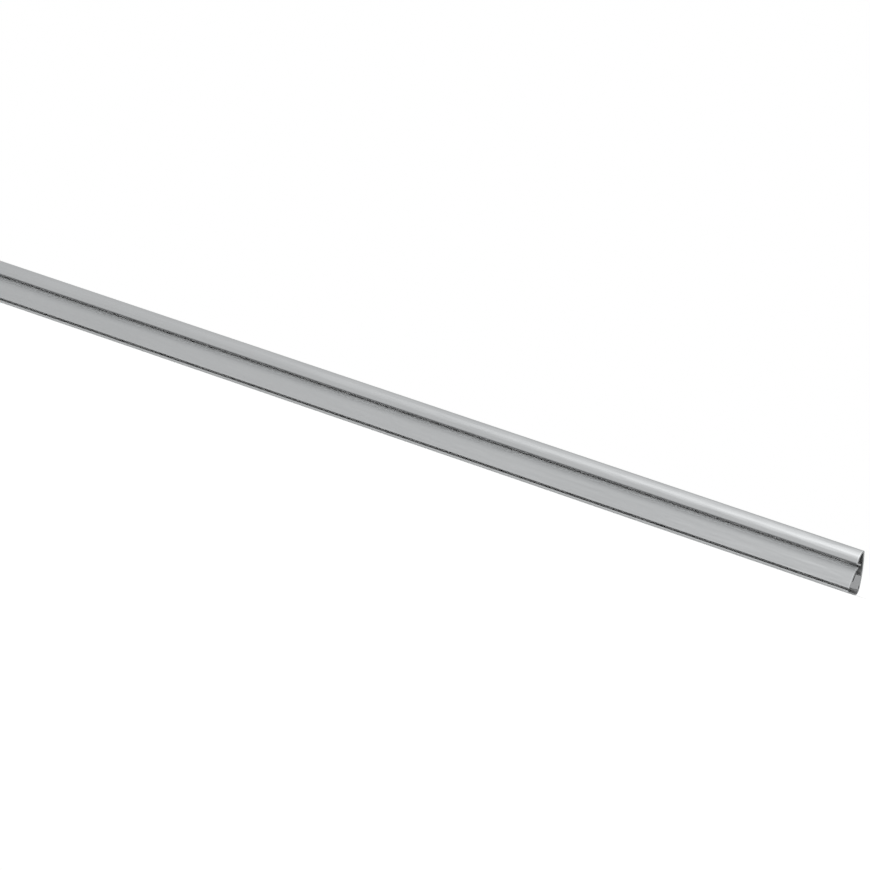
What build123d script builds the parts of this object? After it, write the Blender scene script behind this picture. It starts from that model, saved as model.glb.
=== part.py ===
from build123d import *
import math
import os

# Aluminium extrusion profile: one length of pressed stock, sawn square at both ends.
# X runs along the length, -Y is the front that is seen in use, +Z is up.
# The origin is at the middle of the flat underside. All sizes are in millimetres, angles in degrees.
# The section is drawn with its front toe at (0, 0), its first axis to the back and its second up.

# Driving dimensions: the whole section
length = 1000.0
section_height = 25.0
section_depth = 15.2
wall = 1.25
edge_radius = 0.25
inner_radius = 0.5

# Driving dimensions: the crown and the back, which leans forward to it
crown_setback = 3.8
crown_radius = 1.9
back_slope = 37.0
heel_height = 4.2
heel_radius = 3.0
heel_blend_radius = 6.0

# Driving dimensions: the rounded nose and the lip that turns in beneath it
nose_slope = 42.0
nose_underside = 16.4
nose_tip_setback = 0.25
nose_tip_radius = 1.2
lip_thickness = 0.9
lip_reach = 6.2

# Driving dimensions: the front plate below the nose, and its shoulder that turns back at the top
groove_height = 0.85
face_lean = 7.0
shoulder_height = 13.1
shoulder_lean = 36.0
shoulder_radius = 0.5

# Driving dimensions: the solid foot and the narrow pocket behind the front plate
foot_top = 11.1
pocket_width = 1.3
pocket_floor = 6.6

# Driving dimensions: the base channel, which opens to the front between two low lips
flange_thickness = 0.75
toe_height = 1.35
mouth_height = 1.3
channel_ceiling = 3.4
channel_lip = 1.1
heel_wall = 1.1
heel_pocket_top = 6.0
heel_pocket_width = 1.2

# Derived places
lip_top = nose_underside + lip_thickness
plate_top = nose_underside - groove_height
plate_foot = toe_height + mouth_height
lean_slope = math.tan(math.radians(face_lean))

# How far a cut runs past the outline, and how much of an edge its rounded ends leave
past_the_edge = 5.0
rounding_margin = 0.05


def rectangle(left, right, bottom, top):
    """A rectangle between two depths and two heights."""
    centre = ((left + right) / 2, (bottom + top) / 2)
    return Pos(*centre) * Rectangle(right - left, top - bottom)


def soften(sketch, radius, *corners):
    """The sketch with the corner nearest to each given place rounded."""
    for corner in corners:
        sketch = fillet(sketch.vertices().sort_by_distance(corner)[0], radius)
    return sketch


def on_crown(angle, inset):
    """A point of the crown's arc, seen at this angle from its centre, and the way out from it."""
    outward = Vector(math.cos(math.radians(angle)), math.sin(math.radians(angle)))
    centre = Vector(crown_setback, section_height - crown_radius)
    return centre + outward * (crown_radius - inset), outward


def arc_from_crown(angle, end, turn, inset):
    """An arc that leaves the crown smoothly and ends at end, or runs beside that arc at an inset."""
    start, outward = on_crown(angle, 0)
    outer = TangentArc(start, end, tangent=outward.rotate(Axis.Z, turn))
    end_outward = (outer % 1).rotate(Axis.Z, -turn)
    inner_start, outward = on_crown(angle, inset)
    return TangentArc(inner_start, end - end_outward * inset, tangent=outward.rotate(Axis.Z, turn))


def heel_to_nose(inset=0.0):
    """The back, the crown and the nose, as one smooth run of arcs up and over."""
    back = arc_from_crown(back_slope, Vector(section_depth, heel_height), -90, inset)
    nose = arc_from_crown(180 - nose_slope, Vector(nose_tip_setback, nose_underside), 90, inset)
    crown = ThreePointArc(back @ 0, on_crown(90, inset)[0], nose @ 0)
    return [back, crown, nose]


def hood():
    """The bent wall from the heel up the back, over the crown and down the nose, with its lip."""
    outside = heel_to_nose()
    inside = heel_to_nose(inset=wall)
    ends = [Line(outside[0] @ 1, inside[0] @ 1), Line(outside[2] @ 1, inside[2] @ 1)]
    bent_wall = make_face(Curve() + outside + inside + ends)
    above_foot = rectangle(-past_the_edge, section_depth, foot_top - wall, section_height)
    lip = rectangle(nose_tip_setback, lip_reach, nose_underside, lip_top)
    return (bent_wall & above_foot) + lip


def face_depth(height):
    """How far the leaning front face lies behind the toe at this height."""
    return (height - plate_foot) * lean_slope


def front_plate():
    """The front plate: a flat leaning wall whose shoulder turns back under the lip."""
    shoulder = Vector(face_depth(shoulder_height), shoulder_height)
    up_the_shoulder = Vector(0, 1).rotate(Axis.Z, -shoulder_lean)
    shoulder_end = shoulder + up_the_shoulder * ((plate_top - shoulder_height) / up_the_shoulder.Y)
    front = Polyline((0, plate_foot), shoulder, shoulder_end)
    plate = make_face(offset(front, wall, side=Side.RIGHT, kind=Kind.INTERSECTION))
    plate = soften(plate, shoulder_radius, shoulder)
    inner_end = shoulder_end + up_the_shoulder.rotate(Axis.Z, -90) * wall
    return soften(plate, edge_radius, shoulder_end, inner_end)


def back_lean():
    """How far the back leans from the upright where it meets the heel, in degrees."""
    back = heel_to_nose()[0]
    return (back % 1).get_angle(Vector(0, -1))


def heel_blend():
    """The radius between the back and the heel's upright, limited by how long that upright is."""
    upright = heel_height - heel_radius - rounding_margin
    return min(heel_blend_radius, upright / math.tan(math.radians(back_lean() / 2)))


def pocket_rounding(width, lean):
    """The radius that rounds off the end of a pocket of this width whose sides lean this far."""
    return width * math.cos(math.radians(lean)) / 2 - rounding_margin


def foot():
    """The solid foot from the base up to its flat top, bounded by the front face and the back."""
    back, crown, nose = heel_to_nose()
    front = Polyline(
        nose @ 1,
        (face_depth(foot_top), foot_top),
        (0, plate_foot),
        (0, 0),
        (section_depth, 0),
        back @ 1,
    )
    outline = make_face(Curve() + [back, crown, nose, front])
    outline = soften(outline, heel_radius, (section_depth, 0))
    outline = soften(outline, heel_blend(), (section_depth, heel_height))
    return outline & rectangle(-past_the_edge, section_depth, 0, foot_top)


def pocket():
    """The narrow pocket that runs down between the front plate and the foot."""
    plate_thickness = wall / math.cos(math.radians(face_lean))
    floor_front = face_depth(pocket_floor) + plate_thickness
    top_front = face_depth(foot_top) + plate_thickness
    corners = [
        (floor_front, pocket_floor),
        (floor_front + pocket_width, pocket_floor),
        (top_front + pocket_width, foot_top),
        (top_front, foot_top),
    ]
    radius = pocket_rounding(pocket_width, face_lean)
    return soften(make_face(Polyline(*corners, close=True)), radius, *corners[:2])


def base_channel():
    """The channel in the base, its mouth between the lips and its pocket that rises in the heel."""
    back_end = section_depth - heel_wall
    room = rectangle(channel_lip, back_end, flange_thickness, channel_ceiling)
    room = soften(room, heel_radius - heel_wall, (back_end, flange_thickness))
    mouth = rectangle(-past_the_edge, channel_lip, toe_height, plate_foot)
    top_end = back_end - (heel_pocket_top - heel_height) * math.tan(math.radians(back_lean()))
    corners = [
        (top_end, heel_pocket_top),
        (top_end - heel_pocket_width, heel_pocket_top),
        (back_end - heel_pocket_width, heel_height),
        (back_end - heel_pocket_width, channel_ceiling),
        (back_end, channel_ceiling),
        (back_end, heel_height),
    ]
    radius = pocket_rounding(heel_pocket_width, back_lean())
    heel_pocket = soften(make_face(Polyline(*corners, close=True)), radius, *corners[:2])
    return room + mouth + heel_pocket


def section_sketch():
    """The whole section, its sharp corners slightly rounded as a die leaves them."""
    sketch = foot() - pocket() + front_plate() + hood() - base_channel()
    nose_inside = heel_to_nose(inset=wall)[2] @ 1
    hollow_back = (section_depth - wall, foot_top)
    foot_front = (face_depth(foot_top) + wall + pocket_width, foot_top)
    sketch = soften(sketch, nose_tip_radius, (nose_tip_setback, nose_underside))
    sketch = soften(sketch, inner_radius, (nose_inside.X, lip_top), hollow_back)
    sketch = soften(sketch, edge_radius, (lip_reach, nose_underside), (lip_reach, lip_top))
    return soften(sketch, edge_radius, foot_front, (0, 0), (0, toe_height), (0, plate_foot))


os.makedirs("parts", exist_ok=True)
section = Plane.YZ * Pos(-section_depth / 2, 0) * section_sketch()
profile = extrude(section, length / 2, both=True)
export_step(profile, "parts/extrusion_profile.step")
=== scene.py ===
import math

import bpy
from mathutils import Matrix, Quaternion, Vector


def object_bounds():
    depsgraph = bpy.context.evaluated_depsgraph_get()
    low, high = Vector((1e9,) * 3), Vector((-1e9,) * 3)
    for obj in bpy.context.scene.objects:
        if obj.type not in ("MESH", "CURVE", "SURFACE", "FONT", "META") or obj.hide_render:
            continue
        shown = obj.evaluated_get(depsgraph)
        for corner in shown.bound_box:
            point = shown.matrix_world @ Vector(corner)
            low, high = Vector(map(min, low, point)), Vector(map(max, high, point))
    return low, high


# The looks of an aluminium profile: its metal, the white surround, the lamps and the camera

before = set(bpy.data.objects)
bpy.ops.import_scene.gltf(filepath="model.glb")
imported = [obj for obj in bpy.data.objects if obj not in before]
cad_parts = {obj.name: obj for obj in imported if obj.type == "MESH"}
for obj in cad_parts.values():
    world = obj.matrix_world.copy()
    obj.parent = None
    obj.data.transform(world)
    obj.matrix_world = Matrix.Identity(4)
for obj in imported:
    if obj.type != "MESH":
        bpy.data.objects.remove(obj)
cad_low, cad_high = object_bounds()
HALF_LENGTH = cad_high[0]

# The camera: a long lens, almost level with the stock, and rolled. Its frame and focal length are
# in the photograph's pixels, its places in metres and its angles in degrees.
FRAME_WIDTH_PX = 870
FOCAL_LENGTH_PX = 3577
SENSOR_WIDTH_MM = 36.0
CAMERA_FOCUS = (0.2181, 0.0, 0.0091)
CAMERA_DISTANCE = 2.1116
CAMERA_AZIMUTH = 29.13
CAMERA_ELEVATION = 0.564
CAMERA_ROLL = 18.49
CAMERA_CLIP = (0.05, 100.0)

# The white surround, and the pale floor in it
WHITE = (1.0, 1.0, 1.0)
WORLD_STRENGTH = 1.0
FLOOR_HALF_WIDTH = 12.0
FLOOR_TONE = (0.985, 0.985, 0.985)

# The soft lamps in front of the stock, aimed at its cut end. Each one's place is seen from there:
# the share of its distance that lies to the right (negative to the left), its height in degrees and
# its distance. Distances and sizes are in metres, and powers in watts.
LAMP_AIM = (HALF_LENGTH, 0.0, 0.015)
LAMPS = {
    "key": {"right": -0.32, "height": 47.0, "distance": 1.8, "size": (0.60, 1.15), "power": 5.0},
    "low": {"right": -0.24, "height": 28.0, "distance": 0.6, "size": (0.20, 0.25), "power": 0.12},
}

# The metal's tones. Where there are two, they are its darkest and its lightest. The pale insides
# are painted light in the hollows, and near a cut they give way to a darker grey. The undercut's
# tone is painted shade, and the burr's is partly a painted highlight.
FACE_TONES = ((0.386, 0.394, 0.399), (0.439, 0.447, 0.452))
INSIDE_PAINTED_LIGHT_TONES = ((0.920, 0.925, 0.928), (0.950, 0.953, 0.955))
NEAR_CUT_INSIDE_TONE = (0.470, 0.475, 0.480)
UNDERCUT_SHADE_TONE = (0.190, 0.194, 0.198)
SAWN_TONES = ((0.265, 0.270, 0.275), (0.360, 0.365, 0.370))
BURR_GLINT_TONES = ((0.440, 0.450, 0.460), (0.560, 0.570, 0.580))

# The patterns in the metal: how often each changes in a metre along, across and up the stock, and
# how many finer layers lie over it
FINE_LINES = ((0.8, 2200.0, 2200.0), 3.0)
BROAD_LINES = ((0.25, 420.0, 420.0), 2.0)
CLOUDS = ((11.0, 90.0, 90.0), 3.0)
WAVES = ((48.0, 380.0, 380.0), 1.0)
SAW_MARKS = ((1.0, 260.0, 3400.0), 3.0)

# How much of the broad lines lies in the lines, how much of the clouds lies over them, and the span
# that most values of a pattern keep to
BROAD_SHARE = 0.45
CLOUD_SHARE = 0.35
PATTERN_SPAN = (0.3, 0.7)

# The gloss of drawn and of sawn metal, as its lowest and highest roughness
DRAWN_ROUGHNESS = (0.30, 0.52)
SAWN_ROUGHNESS = (0.42, 0.58)

# The relief of the waves, and of the finer marks that lie over them
WAVE_RELIEF = {"Strength": 0.8, "Distance": 0.0002}
MARK_RELIEF = {"Strength": 0.15, "Distance": 0.0001}

# The middles of the three hollows, the heights that part them, and the factors that leave only
# that part of a place that lies in the section
CHANNEL_MIDDLE = (0.0, 0.0, 0.0020)
HOLLOW_MIDDLE = (0.0, -0.0015, 0.0150)
NOSE_MIDDLE = (0.0, -0.0035, 0.0200)
CHANNEL_TOP = 0.0062
LIP_MIDDLE = 0.0168
SECTION_ONLY = (0.0, 1.0, 1.0)

# The insides of the hollows, paled as painted light: how metallic they are, how far from the cut
# the painted light starts to give way to a darker grey and where it has given way most, and how far
# it gives way in the base channel there, where one is as far as in the other hollows
INSIDE_METALLIC = 0.2
PAINTED_LIGHT_FADE_FROM_CUT = (0.011, 0.004)
CHANNEL_PAINTED_LIGHT_FADE = 0.7

# The undercut of the nose, darkened as painted shade: the heights between which it lies, and how
# far the surface has turned down (the upright part of its normal) where the painted shade starts
# and where it is darkest
UNDERCUT_HEIGHTS = (0.0150, 0.0180)
UNDERCUT_TURN = (-0.10, -0.60)

# The bend of the front plate, duller than the rest: its height, how far the dullness reaches
# below and above it, and how rough it is there
BEND_HEIGHT = 0.0131
BEND_REACH = (0.0032, 0.0024)
BEND_ROUGHNESS = 0.72

# The sawn ends: how far the surface has turned to the length where it counts as sawn, and how far
# the burr, painted lighter as a highlight along the cut edges, reaches from the cut
SAWN_TURN = 0.7
BURR_GLINT_WIDTH = 0.0005


class Graph:
    """A node tree built up in short calls, in which an input takes a value or another's output."""

    def __init__(self, tree):
        self.tree = tree
        tree.nodes.clear()

    def connect(self, value, socket):
        """An output is linked to the socket, and a plain value is set on it."""
        if isinstance(value, bpy.types.NodeSocket):
            self.tree.links.new(value, socket)
        elif socket.type == "RGBA":
            socket.default_value = (*value, 1.0)
        else:
            socket.default_value = value

    def add(self, kind, inputs=None, **settings):
        """A new node with these settings and inputs."""
        node = self.tree.nodes.new(kind)
        for name, value in settings.items():
            setattr(node, name, value)
        for name, value in (inputs or {}).items():
            self.connect(value, node.inputs[name])
        return node

    def math(self, operation, first, second=0.0):
        """A sum or comparison of one or two numbers."""
        return self.add("ShaderNodeMath", {0: first, 1: second}, operation=operation).outputs[0]

    def vector_math(self, operation, first, second):
        """The outputs of a sum of two vectors: the first is a vector, and Value is a number."""
        return self.add("ShaderNodeVectorMath", {0: first, 1: second}, operation=operation).outputs

    def part_of(self, vector, axis):
        """The part of a vector that lies along one axis."""
        return self.add("ShaderNodeSeparateXYZ", {"Vector": vector}).outputs[axis]

    def noise(self, place, pattern):
        """A pattern of smooth noise, drawn out by its own scale along each axis."""
        scale, detail = pattern
        stretched = self.add("ShaderNodeMapping", {"Vector": place, "Scale": scale}).outputs[0]
        inputs = {"Vector": stretched, "Scale": 1.0, "Detail": detail}
        return self.add("ShaderNodeTexNoise", inputs).outputs["Fac"]

    def spread(self, value, span, results=(0.0, 1.0)):
        """Runs through the results as the value runs through its span, and stops at both ends."""
        inputs = {
            "Value": value,
            "From Min": span[0],
            "From Max": span[1],
            "To Min": results[0],
            "To Max": results[1],
        }
        return self.add("ShaderNodeMapRange", inputs).outputs[0]

    def mix(self, factor, first, second, data_type="FLOAT"):
        """The first where the factor is nought, the second where it is one."""
        node = self.add("ShaderNodeMix", data_type=data_type)
        used_inputs = [socket for socket in node.inputs if socket.enabled]
        for value, socket in zip((factor, first, second), used_inputs):
            self.connect(value, socket)
        return next(socket for socket in node.outputs if socket.enabled)

    def mix_tones(self, factor, first, second):
        """The first tone where the factor is nought, the second where it is one."""
        return self.mix(factor, first, second, data_type="RGBA")


class Metal(Graph):
    """The profile's metal: the patterns and places that its tone, gloss and relief share."""

    def __init__(self, tree):
        super().__init__(tree)
        coordinates = self.add("ShaderNodeTexCoord").outputs
        self.place = coordinates["Object"]
        self.facing = coordinates["Normal"]
        self.height = self.part_of(self.place, "Z")
        self.from_middle = self.math("ABSOLUTE", self.part_of(self.place, "X"))

        fine_lines = self.noise(self.place, FINE_LINES)
        broad_lines = self.noise(self.place, BROAD_LINES)
        self.lines = self.mix(BROAD_SHARE, fine_lines, broad_lines)
        self.clouds = self.noise(self.place, CLOUDS)
        self.lines_and_clouds = self.mix(CLOUD_SHARE, self.lines, self.clouds)
        self.waves = self.noise(self.place, WAVES)
        self.saw_marks = self.noise(self.place, SAW_MARKS)

        self.is_sawn = self.sawn()
        self.is_inside = self.faces_a_hollow()
        self.painted_light_fade = self.painted_light_fade_near_cut()

    def sawn(self):
        """One on the sawn ends, nought elsewhere."""
        turned = self.math("ABSOLUTE", self.part_of(self.facing, "X"))
        return self.math("GREATER_THAN", turned, SAWN_TURN)

    def faces_a_hollow(self):
        """One where the surface faces the middle of a hollow in the section, nought elsewhere."""
        above_channel = self.math("GREATER_THAN", self.height, CHANNEL_TOP)
        above_lip = self.math("GREATER_THAN", self.height, LIP_MIDDLE)
        lower_middle = self.mix(above_channel, CHANNEL_MIDDLE, HOLLOW_MIDDLE, "VECTOR")
        middle = self.mix(above_lip, lower_middle, NOSE_MIDDLE, "VECTOR")
        in_section = self.vector_math("MULTIPLY", self.place, SECTION_ONLY)[0]
        outward = self.vector_math("SUBTRACT", in_section, middle)[0]
        facing_outward = self.vector_math("DOT_PRODUCT", self.facing, outward)["Value"]
        return self.math("LESS_THAN", facing_outward, 0.0)

    def painted_light_fade_near_cut(self):
        """How far the painted light of the insides gives way to a darker grey: nought away from the
        cuts, and up to one near them.
        """
        in_channel = self.math("LESS_THAN", self.height, CHANNEL_TOP)
        fullest_fade = self.mix(in_channel, 1.0, CHANNEL_PAINTED_LIGHT_FADE)
        fading = [HALF_LENGTH - reach for reach in PAINTED_LIGHT_FADE_FROM_CUT]
        return self.math("MULTIPLY", fullest_fade, self.spread(self.from_middle, fading))

    def undercut_shade_share(self):
        """How much painted shade lies under the nose, as far as the surface has turned down, from
        nought to one.
        """
        low, high = UNDERCUT_HEIGHTS
        below_nose = self.math("LESS_THAN", self.height, high)
        above_plate = self.math("GREATER_THAN", self.height, low)
        turned = self.spread(self.part_of(self.facing, "Z"), UNDERCUT_TURN)
        return self.math("MULTIPLY", turned, self.math("MULTIPLY", below_nose, above_plate))

    def bend_share(self):
        """How near the front of the plate is to its bend, from nought to one."""
        below, above = BEND_REACH
        rise = self.spread(self.height, (BEND_HEIGHT - below, BEND_HEIGHT))
        fall = self.spread(self.height, (BEND_HEIGHT, BEND_HEIGHT + above), (1.0, 0.0))
        is_front = self.math("LESS_THAN", self.part_of(self.facing, "Y"), 0.0)
        return self.math("MULTIPLY", is_front, self.math("MULTIPLY", rise, fall))

    def tone(self):
        """Grey outside, darker at the sawn ends, with painted shade under the nose, a painted
        highlight along the cut edges, and painted light in the pale insides.
        """
        pattern = self.spread(self.lines_and_clouds, PATTERN_SPAN)
        drawn = self.mix_tones(pattern, *FACE_TONES)
        # Painted shade on the surfaces that turn down under the nose
        undercut = self.mix_tones(self.undercut_shade_share(), drawn, UNDERCUT_SHADE_TONE)
        # The burr along the cuts, lighter as a painted highlight
        burr_glint = self.mix_tones(self.clouds, *BURR_GLINT_TONES)
        is_burr_glint = self.math("GREATER_THAN", self.from_middle, HALF_LENGTH - BURR_GLINT_WIDTH)
        outside = self.mix_tones(is_burr_glint, undercut, burr_glint)
        # Pale insides, painted light in the hollows, giving way to a darker grey near a cut
        inside = self.mix_tones(self.painted_light_fade, self.mix_tones(pattern, *INSIDE_PAINTED_LIGHT_TONES), NEAR_CUT_INSIDE_TONE)
        side = self.mix_tones(self.is_inside, outside, inside)
        sawn = self.mix_tones(self.spread(self.saw_marks, PATTERN_SPAN), *SAWN_TONES)
        return self.mix_tones(self.is_sawn, side, sawn)

    def metallic(self):
        """One, apart from the insides of the hollows, which are less metallic away from a cut."""
        inside = self.mix(self.painted_light_fade, INSIDE_METALLIC, 1.0)
        return self.mix(self.is_inside, 1.0, inside)

    def roughness(self):
        """Uneven with the patterns, and higher at the bend of the front plate."""
        drawn = self.spread(self.lines_and_clouds, PATTERN_SPAN, DRAWN_ROUGHNESS)
        side = self.mix(self.bend_share(), drawn, BEND_ROUGHNESS)
        sawn = self.spread(self.saw_marks, PATTERN_SPAN, SAWN_ROUGHNESS)
        return self.mix(self.is_sawn, side, sawn)

    def relief(self):
        """Slight waves, with the drawing lines or the saw marks over them."""
        swell = self.add("ShaderNodeBump", {"Height": self.waves, **WAVE_RELIEF}).outputs[0]
        marks = self.mix(self.is_sawn, self.lines, self.saw_marks)
        inputs = {"Height": marks, "Normal": swell, **MARK_RELIEF}
        return self.add("ShaderNodeBump", inputs).outputs[0]


def satin_aluminium():
    """The metal of the profile, with its lines, its sawn ends, painted shade under its nose, a
    painted highlight along its cut edges and painted light in its pale insides.
    """
    material = bpy.data.materials.new("satin aluminium")
    material.use_nodes = True
    metal = Metal(material.node_tree)
    inputs = {
        "Base Color": metal.tone(),
        "Metallic": metal.metallic(),
        "Roughness": metal.roughness(),
        "Normal": metal.relief(),
    }
    shader = metal.add("ShaderNodeBsdfPrincipled", inputs)
    metal.add("ShaderNodeOutputMaterial", {"Surface": shader.outputs[0]})
    return material


def finish_profile():
    """The profile keeps its solid and gets its metal."""
    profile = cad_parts["extrusion_profile"]
    profile.data.materials.clear()
    profile.data.materials.append(satin_aluminium())


def aim_camera():
    """The camera at the photograph's angle."""
    azimuth = math.radians(CAMERA_AZIMUTH)
    elevation = math.radians(CAMERA_ELEVATION)
    back = Vector((
        math.sin(azimuth) * math.cos(elevation),
        -math.cos(azimuth) * math.cos(elevation),
        math.sin(elevation),
    ))
    data = bpy.data.cameras.new("camera")
    data.sensor_width = SENSOR_WIDTH_MM
    data.lens = FOCAL_LENGTH_PX / FRAME_WIDTH_PX * SENSOR_WIDTH_MM
    data.clip_start, data.clip_end = CAMERA_CLIP
    camera = bpy.data.objects.new("camera", data)
    level = (-back).to_track_quat("-Z", "Y")
    roll = Quaternion((0.0, 0.0, 1.0), math.radians(CAMERA_ROLL))
    camera.rotation_mode = "QUATERNION"
    camera.rotation_quaternion = level @ roll
    camera.location = Vector(CAMERA_FOCUS) + back * CAMERA_DISTANCE
    bpy.context.collection.objects.link(camera)
    bpy.context.scene.camera = camera


def white_world():
    """An even white surround, which the metal reflects."""
    world = bpy.data.worlds.new("white surround")
    world.use_nodes = True
    graph = Graph(world.node_tree)
    inputs = {"Color": WHITE, "Strength": WORLD_STRENGTH}
    background = graph.add("ShaderNodeBackground", inputs)
    graph.add("ShaderNodeOutputWorld", {"Surface": background.outputs[0]})
    bpy.context.scene.world = world


def pale_paint():
    """The matte paint of the floor."""
    material = bpy.data.materials.new("pale floor")
    material.use_nodes = True
    graph = Graph(material.node_tree)
    paint = graph.add("ShaderNodeBsdfDiffuse", {"Color": FLOOR_TONE})
    graph.add("ShaderNodeOutputMaterial", {"Surface": paint.outputs[0]})
    return material


def floor():
    """A wide pale floor under the stock."""
    half = FLOOR_HALF_WIDTH
    mesh = bpy.data.meshes.new("floor")
    corners = [(-half, -half, 0.0), (half, -half, 0.0), (half, half, 0.0), (-half, half, 0.0)]
    mesh.from_pydata(corners, [], [(0, 1, 2, 3)])
    mesh.materials.append(pale_paint())
    plane = bpy.data.objects.new("floor", mesh)
    bpy.context.collection.objects.link(plane)


def soft_lamp(name, right, height, distance, size, power):
    """A soft lamp in front of the stock, aimed at its cut end."""
    data = bpy.data.lights.new(name, "AREA")
    data.shape = "RECTANGLE"
    data.size, data.size_y = size
    data.energy = power
    lamp = bpy.data.objects.new(name, data)
    forward = math.sqrt(1.0 - right ** 2)
    tilt = math.radians(height)
    direction = Vector((right, -forward * math.cos(tilt), forward * math.sin(tilt)))
    lamp.location = Vector(LAMP_AIM) + direction * distance
    lamp.rotation_mode = "QUATERNION"
    lamp.rotation_quaternion = (-direction).to_track_quat("-Z", "Y")
    bpy.context.collection.objects.link(lamp)


aim_camera()
white_world()
floor()
for lamp_name, lamp in LAMPS.items():
    soft_lamp(lamp_name, **lamp)
finish_profile()

view = bpy.context.scene.view_settings
view.view_transform = "Standard"
